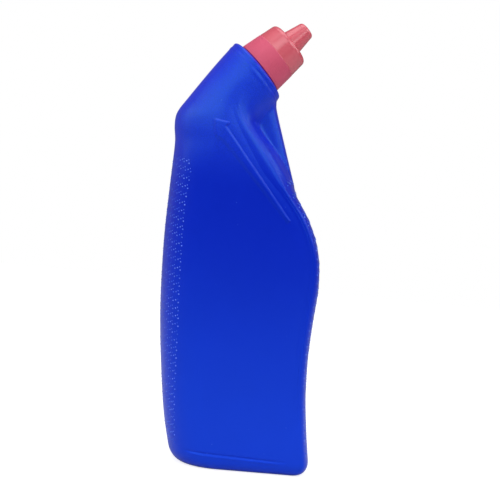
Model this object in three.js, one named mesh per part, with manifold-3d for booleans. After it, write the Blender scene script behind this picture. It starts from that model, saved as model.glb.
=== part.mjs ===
import * as THREE from "three";
import Module from "manifold-3d";

const wasm = await Module();
wasm.setup();

// Millimetres, +Z up, spout towards +X, wide faces towards -Y and +Y.

// Neck axis and collar
const NECK_TILT = THREE.MathUtils.degToRad(45);
const COLLAR_CENTRE = [-10.8, 216.3];
const COLLAR_RADIUS = 19.0;
const COLLAR_ROUNDING = 2.8;
const SHOULDER_RISE = 1.7;

// Bottle wall and base
const WALL = 0.9;
const BODY_HALF_DEPTH = 24;
const HEEL_HEIGHT = 8;
const HEEL_BACK = 6;
const HEEL_BACK_LEAN = 0.9;
const HEEL_FRONT = 6.5;
const HEEL_SIDE = 6;
const CORNER_SHARE = 0.75;
const WEB_HALF_DEPTH = 8.5;
const WEB_EDGE_RADIUS = 4.5;

// Back edge of the body, one large arc in side view
const BACK_BULGE_X = -52.4;
const BACK_BULGE_Z = 124;
const BACK_ARC_RADIUS = 555;
const backX = (z) => BACK_BULGE_X + (z - BACK_BULGE_Z) ** 2 / (2 * BACK_ARC_RADIUS);

// Sections from the base to the collar, in side view as [x, z]
// back and front lie on the outline, crease is the edge of the wide face,
// root is where the web under the neck meets the body, web is how much of it there is
// roundBack is the width of the rounding at the back, power the squareness of the front corner
// toCollar is how far the depth has gone from the body's to the collar's
const bodySection = (z, crease, front, roundBack = 22, half = BODY_HALF_DEPTH) => ({
  back: [backX(z), z],
  crease: [crease, z],
  front: [front, z],
  half,
  roundBack,
  power: 2.6,
  web: 0,
});
const COLLAR_OFFSET = COLLAR_RADIUS * Math.SQRT1_2;
const depthTowardCollar = (share) => BODY_HALF_DEPTH + (COLLAR_RADIUS - BODY_HALF_DEPTH) * share;
const BASE_HALF_DEPTH = BODY_HALF_DEPTH - 0.4;
const webSection = (back, crease, root, front, toCollar, roundBack, power, web) => ({
  back,
  crease,
  root,
  front,
  half: depthTowardCollar(toCollar),
  roundBack,
  power,
  web,
});
const SECTIONS = [
  { ...bodySection(0, 32.8, 39.3, 21, BASE_HALF_DEPTH), back: [backX(0) + HEEL_BACK_LEAN, 0] },
  bodySection(22, 29.4, 35.7),
  bodySection(45, 26.6, 32.9),
  bodySection(66, 26.0, 32.35),
  bodySection(86, 26.9, 33.2),
  bodySection(102, 28.2, 34.25),
  bodySection(117, 28.0, 32.9),
  bodySection(129, 24.3, 29.6),
  bodySection(140, 18.0, 24.4),
  webSection([-51.9, 150.5], [9.4, 150.5], [15.6, 151.4], [17.7, 150.3], 0, 22, 2.6, 0.35),
  webSection([-51.6, 160], [0.6, 159.8], [11.6, 161], [15.8, 156.6], 0, 22, 2.5, 0.8),
  webSection([-51.35, 168], [-5.2, 168.5], [7.2, 168.4], [13.3, 164], 0, 23, 2.4, 1),
  webSection([-51.4, 175.5], [-10, 175.8], [1.4, 175.2], [10.9, 171], 0, 25, 2.3, 1),
  webSection([-52.4, 182.5], [-14.6, 182.6], [-4.2, 181.3], [8.6, 177.8], 0, 27, 2.2, 1),
  webSection([-51.8, 189.8], [-18.6, 189.4], [-8, 186.6], [6.3, 184.5], 0.1, 27, 2.1, 1),
  webSection([-46.9, 197.7], [-21.3, 197.2], [-6.8, 190.2], [4.2, 190.7], 0.28, 25, 2, 1),
  webSection([-39.2, 209], [-19.6, 205.2], [-3.6, 195], [2.4, 196.3], 0.56, 20, 2, 1),
  webSection([-31.6, 219.9], [-15.3, 211.3], [-1.2, 200.6], [1.7, 199.9], 0.8, 19, 2, 0.4),
  {
    back: [COLLAR_CENTRE[0] - COLLAR_OFFSET, COLLAR_CENTRE[1] + COLLAR_OFFSET],
    crease: COLLAR_CENTRE,
    front: [COLLAR_CENTRE[0] + COLLAR_OFFSET, COLLAR_CENTRE[1] - COLLAR_OFFSET],
    half: COLLAR_RADIUS,
    roundBack: COLLAR_RADIUS,
    power: 2,
    web: 0,
  },
];

// Cap, with its places as distances along the neck axis from the collar's plane
const CLEARANCE = 0.3;
const CAP_LIFT_OFF = 0.6;
const CAP_BASE = SHOULDER_RISE + CAP_LIFT_OFF;
const CAP_BASE_RADIUS = 15.1;
const CAP_GRIP_END = 13.8;
const CAP_GRIP_RADIUS = 14.0;
const CAP_STEP = 0.12;
const CAP_TOP = 24.2;
const CAP_TOP_RADIUS = 13.05;
const CAP_SHOULDER = 2.6;
const CAP_WALL = 1.5;
const CAP_TOP_WALL = 1.2;
const TIP_BASE_RADIUS = 6.8;
const TIP_END_RADIUS = 4.95;
const TIP_END = 36.3;
const TIP_ROUNDING = 1.9;
const TIP_WALL = 1.5;
const CAP_INNER_TOP = CAP_TOP - CAP_WALL;
const CAP_INNER_TOP_RADIUS = CAP_TOP_RADIUS - CAP_TOP_WALL;

// Neck finish and nozzle insert, sized to fit under the cap
const FLANGE_THICKNESS = 1.2;
const FLANGE_TOP = CAP_INNER_TOP - CLEARANCE;
const FLANGE_SEAT = FLANGE_TOP - FLANGE_THICKNESS;
const MOUTH = FLANGE_SEAT - CLEARANCE;
const FINISH_WALL = 2.0;
const FINISH_RADIUS = CAP_INNER_TOP_RADIUS - CLEARANCE;
const BORE_RADIUS = FINISH_RADIUS - FINISH_WALL;
const BORE_DEPTH = 1.5;
const SHOULDER_LIP = 1.1;
const FINISH_ROOT = 0.2;
const FLANGE_LIP = 0.4;
const FLANGE_RADIUS = FINISH_RADIUS - FLANGE_LIP;
const PLUG_DEPTH = 8;
const PLUG_WALL = 1.0;
const PLUG_RADIUS = BORE_RADIUS - CLEARANCE;
const NOZZLE_WALL = 1.1;
const NOZZLE_BASE_GAP = 0.7;
const NOZZLE_TIP_GAP = 0.45;
const NOZZLE_END_GAP = 1.6;
const NOZZLE_BASE_RADIUS = TIP_BASE_RADIUS - TIP_WALL - NOZZLE_BASE_GAP;
const NOZZLE_TIP_RADIUS = TIP_END_RADIUS - TIP_WALL - NOZZLE_TIP_GAP;
const NOZZLE_END = TIP_END - TIP_WALL - NOZZLE_END_GAP;

// Arrow in relief on the wide face, in side view
const ARROW_HEIGHT = 0.7;
const ARROW_INNER_Y = BODY_HALF_DEPTH / 3;
const ARROW = [
  [-32.0, 187.4],
  [-22.4, 186.0],
  [-24.3, 183.5],
  [14.2, 137.2],
  [12.3, 135.6],
  [-26.2, 175.7],
  [-29.1, 176.4],
  [-30.8, 178.4],
];

// Mesh fineness
const BODY_ROWS = 2;
const NECK_ROWS = 3;
const NECK_START = 9;
const OUTER_COLUMNS = [13, 5, 5];
const INNER_COLUMNS = [9, 4, 4];
const HEEL_ROWS = 4;
const RIM_ANGLES = [30, 60, 85];
const TURN = 48;

const mix = (a, b, t) => a + (b - a) * t;
const mix2 = (a, b, t) => [mix(a[0], b[0], t), mix(a[1], b[1], t)];
const clamp01 = (t) => Math.min(1, Math.max(0, t));

// Height at the corner of a plain body section, and at the root of the web
const superEllipse = (x, power) => Math.pow(Math.max(0, 1 - Math.pow(clamp01(x), power)), 1 / power);

const ROOTED = SECTIONS.map((s) => ({ ...s, root: s.root ?? mix2(s.crease, s.front, CORNER_SHARE) }));

// Smooth curve through the sections' values
function smooth(read, v) {
  const i = Math.min(Math.floor(v), ROOTED.length - 2);
  const at = (k) => read(ROOTED[Math.min(Math.max(k, 0), ROOTED.length - 1)]);
  const before = i === 0 ? 2 * at(0) - at(1) : at(i - 1);
  const after = i === ROOTED.length - 2 ? 2 * at(i + 1) - at(i) : at(i + 2);
  const t = v - i;
  const a = at(i);
  const b = at(i + 1);
  const slopeA = (b - before) / 2;
  const slopeB = (after - a) / 2;
  return (
    a * (2 * t ** 3 - 3 * t ** 2 + 1) +
    slopeA * (t ** 3 - 2 * t ** 2 + t) +
    b * (3 * t ** 2 - 2 * t ** 3) +
    slopeB * (t ** 3 - t ** 2)
  );
}

function sectionAt(v) {
  const point = (key) => [0, 1].map((axis) => smooth((s) => s[key][axis], v));
  return {
    back: point("back"),
    crease: point("crease"),
    root: point("root"),
    front: point("front"),
    half: smooth((s) => s.half, v),
    roundBack: smooth((s) => s.roundBack, v),
    power: smooth((s) => s.power, v),
    web: clamp01(smooth((s) => s.web, v)),
  };
}

// One section pulled in at the back, the front and the wide faces
function insetSection(s, inset, atBack = inset, atFront = inset) {
  const toward = (from, to, by) => {
    const length = Math.hypot(to[0] - from[0], to[1] - from[1]);
    return mix2(from, to, by / length);
  };
  const front = toward(s.front, s.crease, atFront);
  const moved = (p) => [p[0] + front[0] - s.front[0], p[1] + front[1] - s.front[1]];
  return {
    ...s,
    front,
    back: toward(s.back, s.crease, atBack),
    crease: moved(s.crease),
    root: moved(s.root),
    half: s.half - inset,
    webHalf: WEB_HALF_DEPTH - inset,
  };
}

// Points [x, y, z] of the half section from the back edge to the front edge
function halfSection(s, columns) {
  const points = [];
  const wide = Math.hypot(s.crease[0] - s.back[0], s.crease[1] - s.back[1]);
  const roundBack = Math.min(s.roundBack, wide);
  for (let j = 0; j < columns[0]; j++) {
    const share = 1 - Math.cos((Math.PI / 2) * (j / columns[0]));
    const fromBack = share * wide;
    const height = s.half * superEllipse((roundBack - fromBack) / roundBack, 2.1);
    points.push([mix2(s.back, s.crease, share), height]);
  }
  const plainRoot = s.half * superEllipse(CORNER_SHARE, s.power);
  const rootHeight = mix(plainRoot, s.webHalf, s.web);
  const rootShare = superEllipse(rootHeight / s.half, s.power);
  for (let j = 0; j < columns[1]; j++) {
    const share = j / columns[1];
    points.push([mix2(s.crease, s.root, share), s.half * superEllipse(rootShare * share, s.power)]);
  }
  const webWidth = Math.hypot(s.front[0] - s.root[0], s.front[1] - s.root[1]);
  for (let j = 0; j <= columns[2]; j++) {
    const share = 1 - (1 - j / columns[2]) ** 2;
    const plain = s.half * superEllipse(mix(CORNER_SHARE, 1, share), s.power);
    const fromFront = (1 - share) * webWidth;
    const web = s.webHalf * superEllipse(1 - fromFront / WEB_EDGE_RADIUS, 2);
    points.push([mix2(s.root, s.front, share), mix(plain, web, s.web)]);
  }
  return points.map(([p, h]) => [p[0], h, p[1]]);
}

// Rows of half sections, each a little further up the bottle
function bottleRows(inset, columns, bodyRows, neckRows) {
  const rows = [];
  const first = SECTIONS[1].back[1];
  const height = HEEL_HEIGHT - inset;
  for (let k = 0; k < HEEL_ROWS; k++) {
    const angle = (Math.PI / 2) * (k / HEEL_ROWS);
    const z = inset + height * (1 - Math.cos(angle));
    const pulled = 1 - Math.sin(angle);
    const by = (full) => inset + (full - inset) * pulled;
    const s = insetSection(sectionAt(z / first), by(HEEL_SIDE), by(HEEL_BACK), by(HEEL_FRONT));
    rows.push(halfSection(s, columns).map((p) => [p[0], p[1], z]));
  }
  const last = SECTIONS.length - 1;
  rows.push(halfSection(insetSection(sectionAt(HEEL_HEIGHT / first), inset), columns));
  for (let i = 0; i < last; i++) {
    const steps = i < NECK_START ? bodyRows : neckRows;
    for (let k = 0; k < steps; k++) {
      const v = i + k / steps;
      if (v * first > HEEL_HEIGHT + 1) rows.push(halfSection(insetSection(sectionAt(v), inset), columns));
    }
  }
  rows.push(halfSection(insetSection(sectionAt(last), inset), columns));
  // Rounded rim and sloping shoulder of the collar
  const rim = rows[rows.length - 1];
  const radius = COLLAR_RADIUS - inset;
  const rounding = COLLAR_ROUNDING - inset;
  const ring = (along, r) => {
    const dx = along * Math.cos(NECK_TILT);
    const dz = along * Math.sin(NECK_TILT);
    return rim.map((p) => [
      COLLAR_CENTRE[0] + ((p[0] - COLLAR_CENTRE[0]) * r) / radius + dx,
      (p[1] * r) / radius,
      COLLAR_CENTRE[1] + ((p[2] - COLLAR_CENTRE[1]) * r) / radius + dz,
    ]);
  };
  for (const angle of RIM_ANGLES) {
    const a = THREE.MathUtils.degToRad(angle);
    rows.push(ring(rounding * Math.sin(a) * 0.6, radius - rounding * (1 - Math.cos(a))));
  }
  rows.push(ring(SHOULDER_RISE - inset * 0.7 + 0.1, FINISH_RADIUS + SHOULDER_LIP - inset));
  return rows;
}

// Closed mesh of the rows, their mirror image and the two ends
function closedLoft(rows) {
  const columns = rows[0].length;
  const around = 2 * columns - 2;
  const positions = [];
  const index = [];
  for (const row of rows) {
    for (let j = 0; j < columns; j++) {
      const onEdge = j === 0 || j === columns - 1;
      positions.push(row[j][0], onEdge ? 0 : -row[j][1], row[j][2]);
    }
    for (let j = columns - 2; j > 0; j--) positions.push(row[j][0], row[j][1], row[j][2]);
  }
  for (let k = 0; k + 1 < rows.length; k++) {
    for (let j = 0; j < around; j++) {
      const a = k * around + j;
      const b = k * around + ((j + 1) % around);
      index.push(a, b, b + around, a, b + around, a + around);
    }
  }
  const ladder = (start, up) => {
    for (let j = 0; j < columns - 1; j++) {
      const near = [start + j, start + j + 1];
      const far = [start + ((around - j) % around), start + ((around - j - 1) % around)];
      const faces = [];
      if (j > 0) faces.push([near[0], far[0], near[1]]);
      if (j < columns - 2) faces.push([near[1], far[0], far[1]]);
      for (const f of faces) index.push(...(up ? [f[0], f[2], f[1]] : f));
    }
  };
  ladder(0, false);
  ladder((rows.length - 1) * around, true);
  return solidOf(positions, index);
}

function solidOf(positions, index) {
  const merged = new wasm.Mesh({
    numProp: 3,
    vertProperties: new Float32Array(positions),
    triVerts: new Uint32Array(index),
  });
  merged.merge();
  return new wasm.Manifold(merged);
}

// Solid of revolution from [radius, distance along the neck axis] points, closed outline
function turned(outline) {
  const polygon = outline.map(([r, s]) => [r, s]);
  return wasm.Manifold.revolve([polygon], TURN);
}

// Turns a solid that stands on the Z axis so that it stands on the neck axis
function onNeck(solid) {
  const lean = 90 - THREE.MathUtils.radToDeg(NECK_TILT);
  return solid.rotate([0, lean, 0]).translate([COLLAR_CENTRE[0], 0, COLLAR_CENTRE[1]]);
}

function meshOf(solid, name, colour, roughness) {
  const data = solid.getMesh();
  const geometry = new THREE.BufferGeometry();
  const points = new Float32Array(data.numVert * 3);
  for (let i = 0; i < data.numVert; i++) {
    for (let axis = 0; axis < 3; axis++) points[3 * i + axis] = data.vertProperties[i * data.numProp + axis];
  }
  geometry.setAttribute("position", new THREE.BufferAttribute(points, 3));
  geometry.setIndex(new THREE.BufferAttribute(new Uint32Array(data.triVerts), 1));
  geometry.computeVertexNormals();
  const material = new THREE.MeshStandardMaterial({ color: colour, roughness, metalness: 0 });
  const mesh = new THREE.Mesh(geometry, material);
  mesh.name = name;
  return mesh;
}

function arcPoints(centre, radius, from, to, steps) {
  return Array.from({ length: steps + 1 }, (_, i) => {
    const a = THREE.MathUtils.degToRad(mix(from, to, i / steps));
    return [centre[0] + radius * Math.cos(a), centre[1] + radius * Math.sin(a)];
  });
}

function bottle() {
  const outer = closedLoft(bottleRows(0, OUTER_COLUMNS, BODY_ROWS, NECK_ROWS));
  const inner = closedLoft(bottleRows(WALL, INNER_COLUMNS, BODY_ROWS, BODY_ROWS));
  const raised = closedLoft(bottleRows(-ARROW_HEIGHT, OUTER_COLUMNS, BODY_ROWS, NECK_ROWS));
  const plug = (radius, from, to) => onNeck(turned([[0, from], [radius, from], [radius, to], [0, to]]));
  const finish = plug(FINISH_RADIUS, FINISH_ROOT, MOUTH);
  const bore = plug(BORE_RADIUS, -BORE_DEPTH, MOUTH + BORE_DEPTH);
  const side = new wasm.CrossSection([ARROW.map(([x, z]) => [x, z]).reverse()]);
  const prism = side.extrude(BODY_HALF_DEPTH).rotate([90, 0, 0]).translate([0, -ARROW_INNER_Y, 0]);
  const arrow = raised.intersect(prism);
  return outer.add(arrow).add(finish).subtract(inner).subtract(bore);
}

function nozzleInsert() {
  const outline = [
    [PLUG_RADIUS - PLUG_WALL, FLANGE_SEAT - PLUG_DEPTH],
    [PLUG_RADIUS, FLANGE_SEAT - PLUG_DEPTH],
    [PLUG_RADIUS, FLANGE_SEAT],
    [FLANGE_RADIUS, FLANGE_SEAT],
    [FLANGE_RADIUS, FLANGE_TOP],
    [NOZZLE_BASE_RADIUS, FLANGE_TOP],
    [NOZZLE_TIP_RADIUS, NOZZLE_END],
    [NOZZLE_TIP_RADIUS - NOZZLE_WALL, NOZZLE_END],
    [NOZZLE_BASE_RADIUS - NOZZLE_WALL, FLANGE_SEAT],
    [PLUG_RADIUS - PLUG_WALL, FLANGE_SEAT],
  ];
  return onNeck(turned(outline));
}

function cap() {
  const shoulderRadius = CAP_TOP_RADIUS - CAP_SHOULDER;
  const tipLean = THREE.MathUtils.radToDeg(Math.atan2(TIP_BASE_RADIUS - TIP_END_RADIUS, TIP_END - CAP_TOP));
  const outline = [
    [CAP_BASE_RADIUS - CAP_WALL, CAP_BASE],
    [CAP_BASE_RADIUS, CAP_BASE],
    [CAP_GRIP_RADIUS, CAP_GRIP_END],
    [CAP_GRIP_RADIUS - CAP_STEP, CAP_GRIP_END],
    ...arcPoints([shoulderRadius, CAP_TOP - CAP_SHOULDER], CAP_SHOULDER, 0, 90, 5),
    [TIP_BASE_RADIUS, CAP_TOP],
    ...arcPoints([TIP_END_RADIUS - TIP_ROUNDING, TIP_END - TIP_ROUNDING], TIP_ROUNDING, tipLean, 90, 4),
    [0, TIP_END],
    [0, TIP_END - TIP_WALL],
    [TIP_END_RADIUS - TIP_WALL, TIP_END - TIP_WALL],
    [TIP_BASE_RADIUS - TIP_WALL, CAP_INNER_TOP],
    [CAP_INNER_TOP_RADIUS, CAP_INNER_TOP],
  ];
  return onNeck(turned(outline));
}

const root = new THREE.Group();
root.name = "toilet_cleaner_bottle";
root.add(meshOf(bottle(), "bottle", "#1638c0", 0.42));
root.add(meshOf(nozzleInsert(), "nozzle_insert", "#e9eaec", 0.45));
root.add(meshOf(cap(), "cap", "#d2566e", 0.4));

export default root;
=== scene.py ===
import math

import bmesh
import bpy
import numpy as np
from mathutils import Matrix, Vector
from mathutils.bvhtree import BVHTree


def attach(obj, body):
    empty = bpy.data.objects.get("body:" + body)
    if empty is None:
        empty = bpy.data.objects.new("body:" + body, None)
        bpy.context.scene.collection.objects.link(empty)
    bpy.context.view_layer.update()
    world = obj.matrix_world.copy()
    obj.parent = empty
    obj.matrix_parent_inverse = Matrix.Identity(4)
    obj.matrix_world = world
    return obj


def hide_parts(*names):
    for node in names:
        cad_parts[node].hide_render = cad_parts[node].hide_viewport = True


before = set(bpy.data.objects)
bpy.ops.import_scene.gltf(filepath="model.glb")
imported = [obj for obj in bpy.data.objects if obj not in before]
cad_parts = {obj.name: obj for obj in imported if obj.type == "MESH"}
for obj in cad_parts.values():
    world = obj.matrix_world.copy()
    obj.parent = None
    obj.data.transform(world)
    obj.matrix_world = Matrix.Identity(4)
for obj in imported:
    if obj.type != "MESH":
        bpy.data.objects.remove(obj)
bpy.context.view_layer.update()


# Neck axis, which starts in the middle of the collar; all lengths are in millimetres
TILT = math.radians(45)
AXIS = np.array([math.cos(TILT), 0.0, math.sin(TILT)])
RING_UP = np.array([-math.sin(TILT), 0.0, math.cos(TILT)])
RING_SIDE = np.array([0.0, 1.0, 0.0])
COLLAR = np.array([-10.8, 0.0, 216.3])
COLLAR_RADIUS = 19.0
COLLAR_ROUNDING = 2.8

# Shoulder seat under the cap, neck finish and bore
SHOULDER_RISE = 1.7
SEAT_LIFT = 0.35
SEAT_RINGS = ((16.0, 0.02), (15.8, 0.08), (15.6, 0.2), (15.4, 0.32),
              (15.2, SEAT_LIFT), (14.2, SEAT_LIFT), (13.2, SEAT_LIFT), (12.4, SEAT_LIFT))
FINISH_RADIUS = 11.55
FINISH_FOOT = 0.6
BORE_RADIUS = 9.55
MOUTH = 20.9
MOUTH_ROUNDING = 0.5
BORE_ROUNDING = 0.4

# Wall, heel and web of the bottle
WALL = 0.9
HEEL_HEIGHT = 8.0
HEEL_BACK = 6.0
HEEL_BACK_LEAN = 0.9
HEEL_FRONT = 6.5
HEEL_SIDE = 6.0
CORNER_SHARE = 0.75
WEB_HALF = 8.5
WEB_EDGE = 4.5
BACK_FARTHEST, BACK_BOW_MIDDLE, BACK_BOW_RADIUS = -52.4, 124.0, 555.0
BACK_POWER, CORNER_POWER = 2.1, 2.6


def back_x(z):
    return BACK_FARTHEST + (z - BACK_BOW_MIDDLE) ** 2 / (2 * BACK_BOW_RADIUS)


def body_section(z, crease, front, round_back=22.0, half=24.0, lean=0.0):
    root = crease + CORNER_SHARE * (front - crease)
    return [back_x(z) + lean, z, crease, z, root, z, front, z, half, round_back, CORNER_POWER, 0.0]


# Sections, the same as in the solids: x and z of the back, the crease, the web's root and the front,
# then half the thickness, the rounding at the back, the corner's power and the share of the web
OFFSET = COLLAR_RADIUS * math.sqrt(0.5)
SECTIONS = np.array([
    body_section(0, 32.8, 39.3, 21, 23.6, HEEL_BACK_LEAN),
    body_section(22, 29.4, 35.7),
    body_section(45, 26.6, 32.9),
    body_section(66, 26.0, 32.35),
    body_section(86, 26.9, 33.2),
    body_section(102, 28.2, 34.25),
    body_section(117, 28.0, 32.9),
    body_section(129, 24.3, 29.6),
    body_section(140, 18.0, 24.4),
    [-51.9, 150.5, 9.4, 150.5, 15.6, 151.4, 17.7, 150.3, 24, 22, 2.6, 0.35],
    [-51.6, 160, 0.6, 159.8, 11.6, 161, 15.8, 156.6, 24, 22, 2.5, 0.8],
    [-51.35, 168, -5.2, 168.5, 7.2, 168.4, 13.3, 164, 24, 23, 2.4, 1],
    [-51.4, 175.5, -10, 175.8, 1.4, 175.2, 10.9, 171, 24, 25, 2.3, 1],
    [-52.4, 182.5, -14.6, 182.6, -4.2, 181.3, 8.6, 177.8, 24, 27, 2.2, 1],
    [-51.8, 189.8, -18.6, 189.4, -8, 186.6, 6.3, 184.5, 23.5, 27, 2.1, 1],
    [-46.9, 197.7, -21.3, 197.2, -6.8, 190.2, 4.2, 190.7, 22.6, 25, 2, 1],
    [-39.2, 209, -19.6, 205.2, -3.6, 195, 2.4, 196.3, 21.2, 20, 2, 1],
    [-31.6, 219.9, -15.3, 211.3, -1.2, 200.6, 1.7, 199.9, 20, 19, 2, 0.4],
    [COLLAR[0] - OFFSET, COLLAR[2] + OFFSET, COLLAR[0], COLLAR[2],
     COLLAR[0] + CORNER_SHARE * OFFSET, COLLAR[2] - CORNER_SHARE * OFFSET,
     COLLAR[0] + OFFSET, COLLAR[2] - OFFSET, COLLAR_RADIUS, COLLAR_RADIUS, 2, 0],
], float)
HALF, ROUND_BACK, POWER, WEB = 8, 9, 10, 11
BACK_PIECE, CORNER_PIECE, FRONT_PIECE = 0, 1, 2
LAST = len(SECTIONS) - 1
FIRST_Z = SECTIONS[1][1]
NECK_START = 9
HEEL_DETAIL_TOP = 12.5


# Smooth curve through the sections' values at v
def cubic(v):
    v = np.asarray(v, float)
    padded = np.vstack([2 * SECTIONS[0] - SECTIONS[1], SECTIONS, 2 * SECTIONS[-1] - SECTIONS[-2]])
    i = np.clip(np.floor(v).astype(int), 0, LAST - 1)
    t = (v - i)[:, None]
    before, a, b, after = padded[i], padded[i + 1], padded[i + 2], padded[i + 3]
    slope_a, slope_b = (b - before) / 2, (after - a) / 2
    return (a * (2 * t**3 - 3 * t**2 + 1) + slope_a * (t**3 - 2 * t**2 + t)
            + b * (3 * t**2 - 2 * t**3) + slope_b * (t**3 - t**2))


# The same curve averaged over its neighbourhood, except near both ends
def section_at(v):
    v = np.asarray(v, float)
    taps = np.linspace(-1, 1, 9)
    weights = 1 - np.abs(taps) * 0.9
    reach = 0.45 * np.clip(np.minimum(v - 1.2, LAST - 0.3 - v), 0, 1)
    soft = np.zeros((len(v), SECTIONS.shape[1]))
    for tap, weight in zip(taps, weights):
        soft += weight * cubic(v + tap * reach)
    soft /= weights.sum()
    soft[:, WEB] = np.clip(soft[:, WEB], 0, 1)
    return soft


def super_ellipse(x, power):
    x = np.clip(x, 0, 1)
    return np.maximum(0, 1 - x**power) ** (1 / power)


def bump(x, width):
    return np.exp(-((x / width) ** 2))


def smoothstep(x):
    x = np.clip(x, 0, 1)
    return x * x * (3 - 2 * x)


# Sections set in by the wall or by the heel's rounding
def inset(rows, side, at_back=None, at_front=None):
    at_back = side if at_back is None else at_back
    at_front = side if at_front is None else at_front
    rows = rows.copy()

    def step(start, end, by):
        way = end - start
        return way / np.linalg.norm(way, axis=1)[:, None] * np.reshape(by, (-1, 1))
    back_move = step(rows[:, 0:2], rows[:, 2:4], at_back)
    front_move = step(rows[:, 6:8], rows[:, 2:4], at_front)
    rows[:, 0:2] += back_move
    for k in (2, 4, 6):
        rows[:, k:k + 2] += front_move
    rows[:, HALF] -= side
    return rows, WEB_HALF - np.broadcast_to(side, len(rows))


# Lengths of each section's pieces: wide face, corner and front
def piece_lengths(rows):
    ends = (rows[:, 0:2], rows[:, 2:4], rows[:, 4:6], rows[:, 6:8])
    return [np.linalg.norm(b - a, axis=1)[:, None] for a, b in zip(ends, ends[1:])]


# Where each column lies: piece of the section, and share of the way across that piece
def column_shares(back, corner, front):
    j = np.arange(back) / back
    first = 1 - np.cos(np.pi / 2 * j)
    second = np.arange(corner) / corner
    third = (1 - np.cos(np.pi * np.arange(front + 1) / front)) / 2
    part = np.concatenate([np.full(back, BACK_PIECE), np.full(corner, CORNER_PIECE),
                           np.full(front + 1, FRONT_PIECE)])
    return part, np.concatenate([first, second, third])


# Points of half sections, rows by columns, on the side y > 0
def half_points(rows, web_half, part, share):
    back, crease, root, front = (rows[:, k:k + 2][:, None, :] for k in (0, 2, 4, 6))
    half, round_back, power, web = (rows[:, k][:, None] for k in (HALF, ROUND_BACK, POWER, WEB))
    web_half = np.reshape(web_half, (-1, 1))
    s = share[None, :]
    wide, _, web_wide = piece_lengths(rows)
    rounding = np.minimum(round_back, wide)
    h_back = half * super_ellipse((rounding - s * wide) / rounding, BACK_POWER)
    plain_root = half * super_ellipse(CORNER_SHARE, power)
    root_height = plain_root + (web_half - plain_root) * web
    root_share = super_ellipse(root_height / half, power)
    h_corner = half * super_ellipse(root_share * s, power)
    plain = half * super_ellipse(CORNER_SHARE + (1 - CORNER_SHARE) * s, power)
    thin = web_half * super_ellipse(1 - (1 - s) * web_wide / WEB_EDGE, 2)
    h_front = plain + (thin - plain) * web
    on_back, on_corner = part == BACK_PIECE, part == CORNER_PIECE
    height = np.where(on_back, h_back, np.where(on_corner, h_corner, h_front))
    on_back, on_corner = on_back[None, :, None], on_corner[None, :, None]
    start = np.where(on_back, back, np.where(on_corner, crease, root))
    end = np.where(on_back, crease, np.where(on_corner, root, front))
    flat = start + (end - start) * s[:, :, None]
    return np.stack([flat[:, :, 0], height, flat[:, :, 1]], axis=2)


def grid_normals(points):
    along = np.gradient(points, axis=0)
    across = np.gradient(points, axis=1)
    n = np.cross(across, along)
    n /= np.maximum(np.linalg.norm(n, axis=2, keepdims=True), 1e-9)
    flip = np.where(n[:, :, 1] < -1e-6, -1.0, 1.0)[:, :, None]
    return n * flip


# Lines of the moulding: heights, widths and places
GROOVE_DEPTH, GROOVE_EASE, GROOVE_WIDTH = 0.42, 0.14, 1.1
GROOVE_V = (9.0, 9.6, 11.0, 13.0, 15.0, 16.0)
GROOVE_SHARE = (0.62, 0.66, 0.50, 0.46, 0.28, 0.20)
ROLL_HEIGHT, ROLL_SHARE, ROLL_WIDTH = 0.35, 0.14, 2.4
CREASE_DROP, CREASE_REACH, CREASE_END_SHARE = 1.5, 10.0, 0.8
FOOT_RIDGE_HEIGHT, FOOT_RIDGE_WIDTH, FOOT_RIDGE_AT = 0.40, 0.9, 0.1
WEB_RIDGE_HEIGHT, WEB_RIDGE_WIDTH, WEB_RIDGE_FROM_EDGE = 0.22, 0.9, 2.4
LEDGE_Z, LEDGE_SLOPE, LEDGE_MIDDLE = 8.9, 0.033, -3.5
LEDGE_BACK, LEDGE_FRONT, LEDGE_FADE = -31.0, 24.0, 6.0
LEDGE_DEPTH, LEDGE_WIDTH = 0.50, 0.5
LEDGE_RIDGE_HEIGHT, LEDGE_RIDGE_WIDTH, LEDGE_RIDGE_BELOW = 0.26, 0.7, 1.25
BEAD_HEIGHT, BEAD_WIDTH, BEAD_BEHIND = 0.20, 0.9, 3.0
BEAD_GROOVE_DEPTH, BEAD_GROOVE_WIDTH, BEAD_GROOVE_BEHIND = 0.20, 0.7, 1.4
WAVE_HEIGHT = 0.035
# Blur of the web's foot: least, gain and the distance from the corner's ends over which it grows
FOOT_BLUR_LEAST, FOOT_BLUR_GAIN, FOOT_BLUR_REACH = 0.15, 1.75, 5.0


# Place of the groove beside the crease, as a share of the corner
def groove_share(v):
    return np.interp(v, GROOVE_V, GROOVE_SHARE)


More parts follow.
